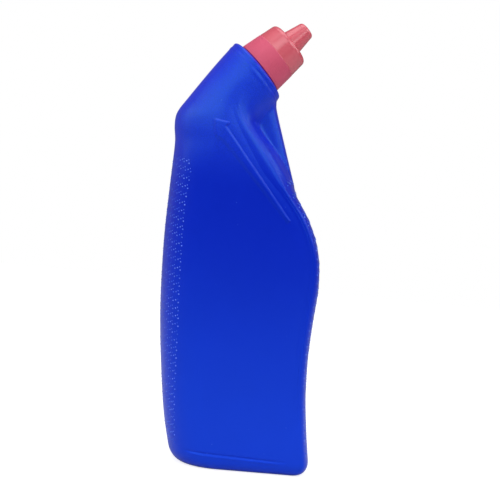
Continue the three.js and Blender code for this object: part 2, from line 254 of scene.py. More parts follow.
# Relief of the moulding along the surface normal
def relief(points, v, rows, part, share):
    x, z = points[:, :, 0], points[:, :, 2]
    v = v[:, None]
    s = share[None, :]
    on_back, on_corner, on_front = (part == piece for piece in (BACK_PIECE, CORNER_PIECE, FRONT_PIECE))
    wide, corner, web_wide = piece_lengths(rows)
    web = rows[:, WEB][:, None]
    from_crease = np.where(on_back, -(1 - s) * wide, np.where(on_corner, s * corner, corner + s * web_wide))
    from_root = np.where(on_front, s * web_wide, np.where(on_corner, -(1 - s) * corner, -99.0))
    from_edge = web_wide * (1 - s)

    # Crease and web, fading out at the base and at the neck
    depth = smoothstep((v - 0.6) / 1.2) * smoothstep((17.0 - v) / 3.0)
    groove = GROOVE_DEPTH - GROOVE_EASE * smoothstep((v - 9) / 2)
    out = -groove * depth * bump(from_crease - groove_share(v) * corner, GROOVE_WIDTH)
    out += ROLL_HEIGHT * depth * bump(from_crease - ROLL_SHARE * corner, ROLL_WIDTH)
    rolled = np.clip((from_crease + CREASE_REACH) / CREASE_REACH, 0, 1) ** 2
    out -= CREASE_DROP * depth * rolled * (1 - smoothstep(from_crease / (CREASE_END_SHARE * corner)))
    out += FOOT_RIDGE_HEIGHT * web * depth * bump(from_root - FOOT_RIDGE_AT, FOOT_RIDGE_WIDTH)
    web_ridge = WEB_RIDGE_HEIGHT * bump(from_edge - WEB_RIDGE_FROM_EDGE, WEB_RIDGE_WIDTH)
    out += web_ridge * web * smoothstep((17.0 - v) / 1.5) * on_front

    # Ledge near the base
    fade = smoothstep((x - LEDGE_BACK) / LEDGE_FADE) * smoothstep((LEDGE_FRONT - x) / LEDGE_FADE)
    ledge = z - LEDGE_Z + LEDGE_SLOPE * (x - LEDGE_MIDDLE)
    out += fade * (LEDGE_RIDGE_HEIGHT * bump(ledge + LEDGE_RIDGE_BELOW, LEDGE_RIDGE_WIDTH)
                   - LEDGE_DEPTH * bump(ledge, LEDGE_WIDTH))

    # Bead behind the collar's rim
    along = (x - COLLAR[0]) * AXIS[0] + (z - COLLAR[2]) * AXIS[2]
    out += smoothstep((v - 15.5) / 1.0) * (
        BEAD_HEIGHT * bump(along + BEAD_BEHIND, BEAD_WIDTH)
        - BEAD_GROOVE_DEPTH * bump(along + BEAD_GROOVE_BEHIND, BEAD_GROOVE_WIDTH))

    # Slight waves, in millimetres of x and z
    wave = np.sin(z / 7.3 + x / 19.0) + np.sin(z / 11.7 - x / 8.3 + 1.3) + np.sin(x / 5.9 + z / 31.0 + 0.4)
    return out + WAVE_HEIGHT * wave * smoothstep((v - 0.9) / 0.6) * smoothstep((17.2 - v) / 1.0)


# Heights of the web's foot, rounded as a blow mould leaves an inner corner
def soften_foot(points, rows, part, share):
    _, corner, web_wide = piece_lengths(rows)
    at = np.where(part == CORNER_PIECE, share * corner, corner + share * web_wide)
    use = part > BACK_PIECE
    at, y = at[:, use], points[:, use, 1]
    cell = np.gradient(at, axis=1)
    near = np.minimum(at, (corner + web_wide) - at)
    sigma = FOOT_BLUR_LEAST + FOOT_BLUR_GAIN * smoothstep(near / FOOT_BLUR_REACH)
    gap = at[:, :, None] - at[:, None, :]
    weight = np.exp(-0.5 * (gap / sigma[:, :, None]) ** 2) * cell[:, None, :]
    soft = (weight * y[:, None, :]).sum(axis=2) / weight.sum(axis=2)
    points[:, use, 1] = y + (soft - y) * rows[:, WEB][:, None]
    return points


# Rows of the loft, lowest first, set in by the wall; detail adds the soft foot and the relief
def loft_rows(side, columns, body_rows, neck_rows, heel_rows, detail):
    part, share = column_shares(*columns)
    angle = np.radians(np.concatenate([np.linspace(0, 62, heel_rows), np.linspace(65, 88.5, heel_rows)]))
    heel_z = side + (HEEL_HEIGHT - side) * (1 - np.cos(angle))
    pulled = 1 - np.sin(angle)
    heel_steps = heel_z / FIRST_Z
    at_side, at_back, at_front = (side + (by - side) * pulled for by in (HEEL_SIDE, HEEL_BACK, HEEL_FRONT))
    heel_sections, web_half = inset(section_at(heel_steps), at_side, at_back, at_front)
    heel = half_points(heel_sections, web_half, part, share)
    heel[:, :, 2] = heel_z[:, None]
    start, close = HEEL_HEIGHT / FIRST_Z, HEEL_DETAIL_TOP / FIRST_Z
    steps = np.concatenate([np.linspace(start, close, heel_rows, endpoint=False),
                            np.linspace(close, NECK_START, body_rows, endpoint=False),
                            np.linspace(NECK_START, LAST, neck_rows)])
    sections, web_half = inset(section_at(steps), side)
    upper = half_points(sections, web_half, part, share)
    if detail:
        upper = soften_foot(upper, sections, part, share)
        both = np.concatenate([heel, upper])
        lift = relief(both, np.concatenate([heel_steps, steps]),
                      np.concatenate([heel_sections, sections]), part, share)
        lift[:, 0] = lift[:, -1] = 0
        lift[0] = 0
        both = both + grid_normals(both) * lift[:, :, None]
        heel, upper = both[:len(heel)], both[len(heel):]
    upper[:, [0, -1], 1] = 0
    rim = upper[-1]
    radius = COLLAR_RADIUS - side
    rounding = COLLAR_ROUNDING - side

    def ring(along, r):
        return COLLAR + (rim - COLLAR) * (r / radius) + along * AXIS
    rings = [ring(rounding * math.sin(a) * 0.6, radius - rounding * (1 - math.cos(a)))
             for a in np.radians(np.linspace(6, 88, 12))]
    return np.concatenate([heel, upper, np.array(rings)]), ring


# Bottle: the outer loft, the neck finish and the bore as rings, then the inner loft downwards
def build_bottle():
    columns = (44, 16, 20)
    outer, ring = loft_rows(0.0, columns, 160, 150, 16, True)
    inner, _ = loft_rows(WALL, columns, 46, 40, 5, False)
    seat = SHOULDER_RISE + SEAT_LIFT
    rings = [ring(SHOULDER_RISE + rise, r) for r, rise in SEAT_RINGS]
    for a in np.radians(np.linspace(0, 90, 5))[1:]:
        rings.append(ring(seat + FINISH_FOOT * (1 - math.cos(a)),
                          FINISH_RADIUS + FINISH_FOOT * (1 - math.sin(a))))
    for s in np.linspace(3.0, MOUTH - MOUTH_ROUNDING, 12):
        rings.append(ring(s, FINISH_RADIUS))
    for a in np.radians(np.linspace(20, 90, 4)):
        rings.append(ring(MOUTH - MOUTH_ROUNDING * (1 - math.sin(a)),
                          FINISH_RADIUS - MOUTH_ROUNDING * (1 - math.cos(a))))
    for a in np.radians(np.linspace(0, 90, 4)):
        rings.append(ring(MOUTH - BORE_ROUNDING * (1 - math.cos(a)),
                          BORE_RADIUS + BORE_ROUNDING * (1 - math.sin(a))))
    for s in np.linspace(MOUTH - 1.5, WALL, 10):
        rings.append(ring(s, BORE_RADIUS))
    shoulder_start = COLLAR_RADIUS - COLLAR_ROUNDING
    for t in np.linspace(0.2, 0.9, 5):
        rings.append(ring(WALL, BORE_RADIUS + (shoulder_start - BORE_RADIUS) * t))
    return closed_tube(np.concatenate([outer, np.array(rings), inner[::-1]]), "bottle_shell")


# Closed mesh of rows of half sections and their mirror image, flat at both ends
def closed_tube(rows, name):
    count, columns, _ = rows.shape
    near = rows * [1, -1, 1]
    near[:, [0, -1], 1] = 0
    around = np.concatenate([near, rows[:, -2:0:-1]], axis=1)
    n = around.shape[1]
    k, j = np.meshgrid(np.arange(count - 1), np.arange(n), indexing="ij")
    a = (k * n + j).ravel()
    b = (k * n + (j + 1) % n).ravel()
    faces = np.stack([a, b, b + n, a + n], axis=1).tolist()
    for start in (0, (count - 1) * n):
        for c in range(columns - 1):
            loop = unique([start + c, start + (n - c) % n, start + (n - c - 1) % n, start + c + 1])
            faces.append(loop if start == 0 else loop[::-1])
    return mesh_object(name, around.reshape(-1, 3), faces)


def unique(loop):
    return list(dict.fromkeys(loop))


def mesh_object(name, points_mm, faces):
    mesh = bpy.data.meshes.new(name)
    mesh.from_pydata((np.asarray(points_mm) / 1000.0).tolist(), [], faces)
    mesh.validate()
    mesh.update()
    obj = bpy.data.objects.new(name, mesh)
    bpy.context.scene.collection.objects.link(obj)
    mesh.polygons.foreach_set("use_smooth", [True] * len(mesh.polygons))
    bpy.context.view_layer.update()
    return obj


# The same, with the faces turned outwards
def outward_object(name, points_mm, faces):
    obj = mesh_object(name, points_mm, faces)
    bm = bmesh.new()
    bm.from_mesh(obj.data)
    bmesh.ops.recalc_face_normals(bm, faces=bm.faces)
    bm.to_mesh(obj.data)
    bm.free()
    obj.data.update()
    return obj


def around_axis(radius, along, angle):
    return COLLAR + along * AXIS + radius * (math.cos(angle) * RING_UP + math.sin(angle) * RING_SIDE)


# Closed mesh turned about the neck axis, from a closed outline of [radius, distance along the axis]
def lathe(name, outline, segments):
    angles = 2 * np.pi * np.arange(segments) / segments
    points, index = [], []
    for r, s in outline:
        if r < 1e-6:
            index.append([len(points)] * segments)
            points.append(COLLAR + s * AXIS)
        else:
            index.append(list(range(len(points), len(points) + segments)))
            points += [around_axis(r, s, a) for a in angles]
    faces = []
    for i in range(len(outline)):
        following = (i + 1) % len(outline)
        lower, upper = index[i], index[following]
        if outline[i][0] < 1e-6 and outline[following][0] < 1e-6:
            continue
        for j in range(segments):
            k = (j + 1) % segments
            faces.append(unique([lower[j], lower[k], upper[k], upper[j]]))
    return outward_object(name, points, faces)


def arc(centre, radius, start, end, steps):
    return [[centre[0] + radius * math.cos(a), centre[1] + radius * math.sin(a)]
            for a in np.radians(np.linspace(start, end, steps))]


# Points from one place of an outline towards another, between two shares of the way
def line(start, end, low, high, steps):
    return [[start[0] + (end[0] - start[0]) * t, start[1] + (end[1] - start[1]) * t]
            for t in np.linspace(low, high, steps)]


# Section of a thread's ridge: distance along the axis, share of the height
THREAD_SHAPE = ((-1.15, -0.25), (-0.85, 0.0), (-0.4, 0.9), (-0.2, 1.0), (0.2, 1.0), (0.4, 0.9), (0.85, 0.0),
                (1.15, -0.25))
THREAD_WIDTH, THREAD_FOOT, THREAD_FADE = 0.8, 0.3, 0.07
THREAD_PITCH = 4.2
THREAD_STEPS_PER_TURN = 90


# Helical ridge about the neck axis, fading out at both ends; taper narrows the wall that carries it, per mm
def thread(name, root, height, start, turns, phase, inward, taper=0.0):
    steps = int(turns * THREAD_STEPS_PER_TURN)
    points, faces = [], []
    for i in range(steps + 1):
        t = i / steps
        grow = 0.04 + 0.96 * math.sin(math.pi / 2 * min(1.0, t / THREAD_FADE, (1 - t) / THREAD_FADE))
        for along, out in THREAD_SHAPE:
            rise = height * grow * out if out > 0 else THREAD_FOOT * out
            s = start + THREAD_PITCH * turns * t + along * THREAD_WIDTH
            wall = root - taper * (s - start)
            radius = wall - rise if inward else wall + rise
            points.append(around_axis(radius, s, phase + 2 * math.pi * turns * t))
    n = len(THREAD_SHAPE)
    for i in range(steps):
        for j in range(n):
            k = (j + 1) % n
            faces.append([i * n + j, i * n + k, (i + 1) * n + k, (i + 1) * n + j])
    faces.append(list(range(n)))
    faces.append([steps * n + j for j in range(n)][::-1])
    return outward_object(name, points, faces)


# Cap: matte skirt, small step, polished top, rounded shoulder and hollow conical tip
CAP_BASE = 2.3
CAP_BASE_RADIUS = 15.1
CAP_BASE_ROUNDING = 0.35
CAP_GRIP_END = 13.8
CAP_GRIP_RADIUS = 14.0
CAP_STEP = 0.12
CAP_TOP = 24.2
CAP_TOP_RADIUS = 13.05
CAP_SHOULDER = 2.6
CAP_WALL = 1.5
TIP_BASE_RADIUS = 6.8
TIP_BASE_FILLET = 0.55
TIP_END_RADIUS = 4.95
TIP_END = 36.3
TIP_ROUNDING = 1.9
TIP_DIMPLE = 0.16


def build_cap():
    base_edge = CAP_BASE_RADIUS - CAP_BASE_ROUNDING
    outline = [[CAP_BASE_RADIUS - CAP_WALL + 0.3, CAP_BASE], [base_edge, CAP_BASE]]
    outline += arc([base_edge, CAP_BASE + CAP_BASE_ROUNDING], CAP_BASE_ROUNDING, -70, -5, 5)
    outline += line([CAP_BASE_RADIUS, CAP_BASE], [CAP_GRIP_RADIUS, CAP_GRIP_END], 0.05, 0.97, 14)
    top_foot = [CAP_GRIP_RADIUS - CAP_STEP, CAP_GRIP_END + 0.2]
    outline += [[CAP_GRIP_RADIUS, CAP_GRIP_END - 0.08], [CAP_GRIP_RADIUS - 0.03, CAP_GRIP_END],
                [top_foot[0], CAP_GRIP_END + 0.05], [top_foot[0] - 0.01, top_foot[1]]]
    outline += line(top_foot, [CAP_TOP_RADIUS, CAP_TOP - CAP_SHOULDER], 0.1, 0.95, 8)
    outline += arc([CAP_TOP_RADIUS - CAP_SHOULDER, CAP_TOP - CAP_SHOULDER], CAP_SHOULDER, 0, 90, 16)
    outline += [[9.2, CAP_TOP], [8.0, CAP_TOP]]
    outline += [[TIP_BASE_RADIUS + TIP_BASE_FILLET * (1 - math.sin(a)),
                 CAP_TOP + TIP_BASE_FILLET * (1 - math.cos(a))]
                for a in np.radians(np.linspace(12, 80, 5))]
    outline += line([TIP_BASE_RADIUS, CAP_TOP + 0.4], [TIP_END_RADIUS, TIP_END - TIP_ROUNDING], 0.1, 0.93, 10)
    outline += arc([TIP_END_RADIUS - TIP_ROUNDING, TIP_END - TIP_ROUNDING], TIP_ROUNDING, 8, 86, 10)
    outline += [[1.6, TIP_END], [1.2, TIP_END - 0.12], [0.6, TIP_END - TIP_DIMPLE], [0, TIP_END - TIP_DIMPLE]]
    tip_inside = [TIP_END_RADIUS - CAP_WALL, TIP_END - CAP_WALL - 0.4]
    outline += [[0, TIP_END - CAP_WALL], [tip_inside[0] - 0.5, TIP_END - CAP_WALL], tip_inside]
    outline += line(tip_inside, [TIP_BASE_RADIUS - CAP_WALL, CAP_TOP - CAP_WALL], 0.1, 1.0, 5)
    inner_top = CAP_TOP_RADIUS - CAP_WALL
    outline += [[10.8, CAP_TOP - CAP_WALL], [inner_top + 0.25, CAP_TOP - CAP_WALL - 0.25]]
    outline += line([inner_top + 0.3, CAP_TOP - CAP_WALL - 0.8],
                    [CAP_BASE_RADIUS - CAP_WALL, CAP_BASE + 0.4], 0, 1, 8)
    return lathe("cap_shell", outline, 192)


# Insert: plug in the bore, flange on the mouth and hollow nozzle
FLANGE_RADIUS = 11.15
FLANGE_THICKNESS = 1.2
NOZZLE_RADIUS, NOZZLE_END_RADIUS = 4.6, 3.0
NOZZLE_END = 33.2
NOZZLE_BORE_END_RADIUS, NOZZLE_BORE_RADIUS = 1.9, 3.5


def build_insert():
    plug, seat = BORE_RADIUS - 0.3, MOUTH + 0.3
    top = seat + FLANGE_THICKNESS
    outline = [[plug - 1.0, seat - 8.0], [plug - 0.5, seat - 8.0], [plug - 0.1, seat - 7.4],
               [plug - 0.1, seat - 5.6], [plug, seat - 5.2], [plug, seat - 4.4],
               [plug - 0.1, seat - 4.0], [plug - 0.1, seat - 0.2], [plug, seat],
               [FLANGE_RADIUS - 0.2, seat], [FLANGE_RADIUS, seat + 0.2], [FLANGE_RADIUS, top - 0.3],
               [FLANGE_RADIUS - 0.3, top], [8.0, top], [7.6, top - 0.35],
               [5.4, top - 0.35], [4.9, top - 0.1], [NOZZLE_RADIUS, top + 0.4]]
    outline += line([NOZZLE_RADIUS, top], [NOZZLE_END_RADIUS, NOZZLE_END], 0.1, 0.96, 10)
    bore_end = [NOZZLE_BORE_END_RADIUS, NOZZLE_END - 0.2]
    outline += [[2.85, NOZZLE_END - 0.1], [2.6, NOZZLE_END], [2.1, NOZZLE_END], bore_end]
    outline += line(bore_end, [NOZZLE_BORE_RADIUS, seat], 0.1, 1.0, 6)
    outline += [[plug - 1.2, seat], [plug - 1.0, seat - 0.3]]
    return lathe("nozzle_spout", outline, 96)


# Points and normals of the outer surface on the side y > 0, at rows v and columns given as part and share
def surface_points(v, part, share):
    rows, web_half = inset(section_at(v), 0.0)
    points = soften_foot(half_points(rows, web_half, part, share), rows, part, share)
    lift = relief(points, v, rows, part, share)
    normals = grid_normals(points)
    return points + normals * lift[:, :, None], normals


# Grip dots, small moulded domes in wavy rows on the two narrow sides
DOME = ((0.0, 1.0), (0.38, 0.86), (0.7, 0.5), (1.0, -0.25))
DOME_SIDES = 8
DOT_COLUMNS = (120, 60, 80)
DOT_PERIOD = 3.6
# Dots of one period: shift along the row in periods, rise, radius and height above the wall
DOT_PATTERN = ((0.0, 0.0, 0.50, 0.34), (0.5, 0.85, 0.48, 0.32), (0.13, 1.65, 0.34, 0.2))
DOTS_PER_ROW = 12
DOT_ROW_CLIMB = 0.18
DOT_ROW_PITCH, DOT_ROW_PITCH_GAIN = 4.15, 0.25
DOT_FADE, DOT_FADED_SHARE = 7.0, 0.40
# Distance from the narrow side's middle line to the nearest dot, on the first and on the second half
DOT_MIDDLE_GAP, DOT_MIDDLE_GAP_FAR = 0.25, 0.9
DOT_LOWEST_Z, DOT_TOP_SPARE = 4.5, 2
# Strips: first column of the outline's values in the sections, lowest row and top
DOT_STRIPS = {"back": (0, 12.2, 164.0), "front": (6, 12.0, 156.5)}
# Edge of the back strip on the wide face: heights, then x
EDGE_Z = (11.5, 35.8, 57.4, 76.8, 89.1, 106.2, 123.3, 140.8, 158.5, 166.0)
EDGE_X = (-36.0, -38.3, -39.4, -40.1, -41.1, -41.7, -42.3, -42.5, -41.0, -43.5)
FRONT_EDGE_GAP = 1.3


def dome(points, faces, centre, normal, radius, height):
    normal = normal / np.linalg.norm(normal)
    side = np.cross(normal, [0.0, 0.0, 1.0])
    side /= np.linalg.norm(side)
    up = np.cross(side, normal)
    start = len(points)
    n = DOME_SIDES
    points.append(centre + normal * height)
    for out, rise in DOME[1:]:
        for j in range(n):
            a = 2 * math.pi * j / n
            around = math.cos(a) * side + math.sin(a) * up
            points.append(centre + radius * out * around + normal * height * rise)
    points.append(centre - normal * height * 0.6)
    for j in range(n):
        k = (j + 1) % n
        faces.append([start, start + 1 + j, start + 1 + k])
        for ring in range(2):
            a = start + 1 + ring * n
            faces.append([a + j, a + n + j, a + n + k, a + k])
        a = start + 1 + 2 * n
        faces.append([a + j, start + 1 + 3 * n, a + k])


# How a point of the outline moves between two heights
def outline_step(column, z, rise):
    xs, zs = SECTIONS[:, column], SECTIONS[:, column + 1]
    return np.array([np.interp(z + rise, zs, xs) - np.interp(z, zs, xs), 0.0, rise])


# Row of the surface at height z, from the outline inwards, with its normals, arc lengths and the strip's edge
def strip_row(name, column, z, part, share):
    back, corner, front = DOT_COLUMNS
    v = np.interp(z, SECTIONS[:, column + 1], np.arange(LAST + 1))
    grid, normals = surface_points(np.linspace(v - 0.02, v + 0.02, 3), part, share)
    row, normal = grid[1], normals[1]
    if name == "back":
        row, normal = row[:back - 2], normal[:back - 2]
    else:
        row, normal = row[::-1][:front + corner + 1], normal[::-1][:front + corner + 1]
    arcs = np.concatenate([[0], np.cumsum(np.linalg.norm(np.diff(row, axis=0), axis=1))])
    if name == "back":
        limit = np.interp(np.interp(z, EDGE_Z, EDGE_X), row[:, 0], arcs)
    else:
        limit = arcs[int(round(front + corner * (1 - groove_share(v))))] - FRONT_EDGE_GAP
    return row, normal, arcs, limit


def build_dots():
    points, faces = [], []
    part, share = column_shares(*DOT_COLUMNS)
    for name, (column, low, high) in DOT_STRIPS.items():
        z = low
        while z < high:
            row, normal, arcs, limit = strip_row(name, column, z, part, share)
            for side in (-1, 1):
                mirror = np.array([1, side, 1])
                for k in range(DOTS_PER_ROW):
                    for shift, rise, radius, tall in DOT_PATTERN:
                        from_edge = (k + shift) * DOT_PERIOD
                        at = limit - from_edge
                        up_z = rise + DOT_ROW_CLIMB * from_edge
                        past_middle = at < DOT_MIDDLE_GAP or (at < DOT_MIDDLE_GAP_FAR and side > 0)
                        too_high, too_low = z + up_z > high + DOT_TOP_SPARE, z + up_z < DOT_LOWEST_Z
                        if past_middle or too_high or too_low:
                            continue
                        p, direction = (np.array([np.interp(at, arcs, values[:, c]) for c in range(3)])
                                        for values in (row, normal))
                        p = p + outline_step(column, z, up_z)
                        faded = math.exp(-(from_edge / DOT_FADE) ** 2)
                        size = DOT_FADED_SHARE + (1 - DOT_FADED_SHARE) * faded
                        dome(points, faces, p * mirror, direction * mirror,
                             radius * (0.5 + 0.5 * size), tall * size)
            z += DOT_ROW_PITCH + DOT_ROW_PITCH_GAIN * min(1.0, z / 150.0)
    return mesh_object("grip_dots", points, faces)


# Arrow in relief: a closed raised patch on the wide face; its first edges are crisp, the others gentle
ARROW = np.array([(-32.0, 187.4), (-22.4, 186.0), (-24.3, 183.5), (14.2, 137.2), (12.3, 135.6),
                  (-26.2, 175.7), (-29.1, 176.4), (-30.8, 178.4)])
ARROW_CRISP_EDGES = 4
ARROW_HEIGHT = 1.0
ARROW_INSET = 0.7
ARROW_FOOT = 1.1
ARROW_CRISP_WIDTH, ARROW_GENTLE_WIDTH = 1.5, 2.4
ARROW_CELL, ARROW_MARGIN = 0.24, 1.2
ARROW_SUNK, ARROW_UNDERSIDE = 0.06, 0.35
ARROW_RIM = 0.62
# Flatter towards the tip: share taken off, start and length of the fade along the arrow
ARROW_FADE, ARROW_FADE_START, ARROW_FADE_LENGTH = 0.25, 40.0, 14.0
# Depth, in metres, from which the wide face is looked for
ARROW_RAY_START = -0.06


# Signed distances to the outline's crisp edges and to its gentle ones, positive inside
def edge_distances(px, pz, corners):
    inside = np.zeros(px.shape, bool)
    best = [np.full(px.shape, 1e9), np.full(px.shape, 1e9)]
    for i, ((x0, z0), (x1, z1)) in enumerate(zip(corners, np.roll(corners, -1, axis=0))):
        crosses = ((z0 > pz) != (z1 > pz)) & (px < (x1 - x0) * (pz - z0) / (z1 - z0 + 1e-12) + x0)
        inside ^= crosses
        t = np.clip(((px - x0) * (x1 - x0) + (pz - z0) * (z1 - z0)) / ((x1 - x0) ** 2 + (z1 - z0) ** 2), 0, 1)
        kind = 0 if i < ARROW_CRISP_EDGES else 1
        best[kind] = np.minimum(best[kind], np.hypot(px - x0 - t * (x1 - x0), pz - z0 - t * (z1 - z0)))
    crisp, gentle = best
    return (np.where(inside | (gentle < crisp), crisp, -crisp),
            np.where(inside | (crisp <= gentle), gentle, -gentle))


def inset_polygon(corners, by):
    previous, following = np.roll(corners, 1, axis=0), np.roll(corners, -1, axis=0)
    moved = []
    for before, here, after in zip(previous, corners, following):
        a = (here - before) / np.linalg.norm(here - before)
        b = (after - here) / np.linalg.norm(after - here)
        na, nb = np.array([a[1], -a[0]]), np.array([b[1], -b[0]])
        moved.append(here + by * (na + nb) / (1 + na @ nb))
    return np.array(moved)


def build_arrow(shell):
    tree = BVHTree.FromObject(shell, bpy.context.evaluated_depsgraph_get())
    way = ARROW[3] - ARROW[2]
    way = way / np.linalg.norm(way)
    across = np.array([-way[1], way[0]])
    origin = ARROW[0]
    local = (ARROW - origin) @ np.stack([way, across], axis=1)
    u, w = (np.arange(local[:, k].min() - ARROW_MARGIN, local[:, k].max() + ARROW_MARGIN, ARROW_CELL)
            for k in (0, 1))
    uu, ww = np.meshgrid(u, w, indexing="ij")
    px = origin[0] + uu * way[0] + ww * across[0]
    pz = origin[1] + uu * way[1] + ww * across[1]
    crisp, gentle = edge_distances(px, pz, inset_polygon(ARROW, ARROW_INSET))
    fade = 1 - ARROW_FADE * smoothstep((uu - ARROW_FADE_START) / ARROW_FADE_LENGTH)
    height = ARROW_HEIGHT * fade * smoothstep((crisp + ARROW_FOOT) / ARROW_CRISP_WIDTH)
    height = height * smoothstep((gentle + ARROW_FOOT) / ARROW_GENTLE_WIDTH) - ARROW_SUNK
    keep = np.minimum(crisp, gentle) + ARROW_INSET > -ARROW_RIM
    cell = keep[:-1, :-1] & keep[1:, :-1] & keep[1:, 1:] & keep[:-1, 1:]
    used = np.zeros_like(keep)
    for di in (0, 1):
        for dj in (0, 1):
            used[di:cell.shape[0] + di, dj:cell.shape[1] + dj] |= cell
    number = -np.ones(keep.shape, int)
    top, bottom = [], []
    for i, j in zip(*np.nonzero(used)):
        start = Vector((px[i, j] / 1000, ARROW_RAY_START, pz[i, j] / 1000))
        hit = tree.ray_cast(start, Vector((0, 1, 0)))
        y = hit[0].y * 1000
        number[i, j] = len(top)
        top.append([px[i, j], y - height[i, j], pz[i, j]])
        bottom.append([px[i, j], y + ARROW_UNDERSIDE, pz[i, j]])
    n = len(top)
    faces, edges = [], []
    for i, j in zip(*np.nonzero(cell)):
        loop = [int(k) for k in (number[i, j], number[i + 1, j], number[i + 1, j + 1], number[i, j + 1])]
        faces.append(loop)
        faces.append([k + n for k in loop[::-1]])
        edges += zip(loop, loop[1:] + loop[:1])
    shared = set(edges)
    faces += [[b, a, a + n, b + n] for a, b in edges if (b, a) not in shared]
    return outward_object("arrow_relief", top + bottom, faces)


# Numbers of a Mix node's two colour inputs and of its colour output
MIX_A, MIX_B, MIX_RESULT = 6, 7, 2


def new_material(name):
    material = bpy.data.materials.new(name)
    material.use_nodes = True
    tree = material.node_tree
    tree.nodes.clear()
    out = tree.nodes.new("ShaderNodeOutputMaterial")
    shader = tree.nodes.new("ShaderNodeBsdfPrincipled")
    tree.links.new(shader.outputs[0], out.inputs[0])
    return material, tree, shader


def node(tree, kind, **values):
    made = tree.nodes.new(kind)
    for key, value in values.items():
        setattr(made, key, value)
    return made


# Value or colour of a socket, or a link to it
def feed(tree, socket, value):
    if isinstance(value, (int, float, tuple)):
        socket.default_value = value
    else:
        tree.links.new(value, socket)


def object_place(tree):
    return node(tree, "ShaderNodeTexCoord").outputs["Object"]


def math_node(tree, operation, a, b):
    made = node(tree, "ShaderNodeMath", operation=operation)
    feed(tree, made.inputs[0], a)
    feed(tree, made.inputs[1], b)
    return made.outputs[0]


def add(tree, a, b):
    return math_node(tree, "ADD", a, b)


def times(tree, a, b):
    return math_node(tree, "MULTIPLY", a, b)


def facing(tree, way, direction):
    made = node(tree, "ShaderNodeVectorMath", operation="DOT_PRODUCT")
    feed(tree, made.inputs[0], way)
    feed(tree, made.inputs[1], tuple(direction))
    return made.outputs["Value"]


def ramp(tree, value, low, high):
    made = node(tree, "ShaderNodeMapRange", interpolation_type="SMOOTHSTEP", clamp=True)
    made.inputs["From Min"].default_value = low
    made.inputs["From Max"].default_value = high
    feed(tree, made.inputs["Value"], value)
    return made.outputs["Result"]


def noise(tree, coords, scale, detail=2.0, roughness=0.5):
    made = node(tree, "ShaderNodeTexNoise")
    made.inputs["Scale"].default_value = scale
    made.inputs["Detail"].default_value = detail
    made.inputs["Roughness"].default_value = roughness
    feed(tree, made.inputs["Vector"], coords)
    return made.outputs["Fac"]


def mix_colour(tree, factor, a, b):
    made = node(tree, "ShaderNodeMix", data_type="RGBA")
    feed(tree, made.inputs[0], factor)
    feed(tree, made.inputs[MIX_A], a)
    feed(tree, made.inputs[MIX_B], b)
    return made.outputs[MIX_RESULT]


def add_bump(tree, shader, height, strength):
    made = node(tree, "ShaderNodeBump")
    made.inputs["Strength"].default_value = strength
    made.inputs["Distance"].default_value = 0.0003
    feed(tree, made.inputs["Height"], height)
    feed(tree, shader.inputs["Normal"], made.outputs[0])


# Bottle: painted floor-bounce light, lighter towards the base; pebbled and more mirror-like above, with few
# pale specks
def blue_plastic():
    material, tree, shader = new_material("blue_polyethylene")
    coords = object_place(tree)
    place = node(tree, "ShaderNodeSeparateXYZ")
    feed(tree, place.inputs[0], coords)
    height_z = place.outputs["Z"]
    broad = noise(tree, coords, 28.0, 3.0)
    fine = noise(tree, coords, 1900.0, 1.0, 0.5)
    mould = noise(tree, coords, 210.0, 3.0, 0.6)
    upper = ramp(tree, height_z, 0.150, 0.185)

    # Paler blue at the foot is painted light from the floor's bounce
    painted_bounce_tone = mix_colour(tree, broad, (0.0075, 0.0395, 0.605, 1), (0.0086, 0.0452, 0.672, 1))
    waist_tone = mix_colour(tree, broad, (0.0018, 0.0110, 0.435, 1), (0.0025, 0.0136, 0.491, 1))
    lower_tone = mix_colour(tree, ramp(tree, height_z, 0.0, 0.150), painted_bounce_tone, waist_tone)
    upper_share = add(tree, times(tree, ramp(tree, fine, 0.36, 0.64), 0.55), times(tree, broad, 0.45))
    upper_tone = mix_colour(tree, upper_share, (0.0006, 0.0055, 0.430, 1), (0.0024, 0.0160, 0.660, 1))
    colour = mix_colour(tree, upper, lower_tone, upper_tone)
    cells = node(tree, "ShaderNodeTexVoronoi", feature="F1")
    cells.inputs["Scale"].default_value = 260.0
    feed(tree, cells.inputs["Vector"], coords)
    rare = ramp(tree, noise(tree, coords, 70.0, 0.0), 0.66, 0.72)
    speck = times(tree, ramp(tree, cells.outputs["Distance"], 0.09, 0.04), rare)
    colour = mix_colour(tree, times(tree, speck, 0.35), colour, (0.12, 0.24, 0.85, 1))
    feed(tree, shader.inputs["Base Color"], colour)

    rough = add(tree, add(tree, times(tree, broad, 0.08), 0.27), times(tree, upper, 0.05))
    feed(tree, shader.inputs["Roughness"], rough)
    shader.inputs["IOR"].default_value = 1.53
    shader.inputs["Specular IOR Level"].default_value = 0.48
    tint = mix_colour(tree, upper, (0.08, 0.40, 1.0, 1), (0.30, 0.98, 1.0, 1))
    feed(tree, shader.inputs["Specular Tint"], tint)
    grain = times(tree, fine, add(tree, times(tree, upper, 0.85), 0.10))
    add_bump(tree, shader, add(tree, grain, times(tree, mould, 0.20)), 0.40)
    return material


# Tips of the grip dots, painted paler than the wall around them as a painted highlight, and smoother
def painted_glint_plastic():
    material, tree, shader = new_material("painted_glint_polyethylene")
    tone = noise(tree, object_place(tree), 420.0, 1.0)
    # Pale blue of the dots: a painted highlight
    colour = mix_colour(tree, ramp(tree, tone, 0.35, 0.65), (0.028, 0.090, 0.72, 1), (0.120, 0.22, 0.90, 1))
    feed(tree, shader.inputs["Base Color"], colour)
    feed(tree, shader.inputs["Roughness"], add(tree, times(tree, tone, 0.10), 0.20))
    shader.inputs["IOR"].default_value = 1.53
    shader.inputs["Specular Tint"].default_value = (0.35, 0.85, 1.0, 1)
    return material
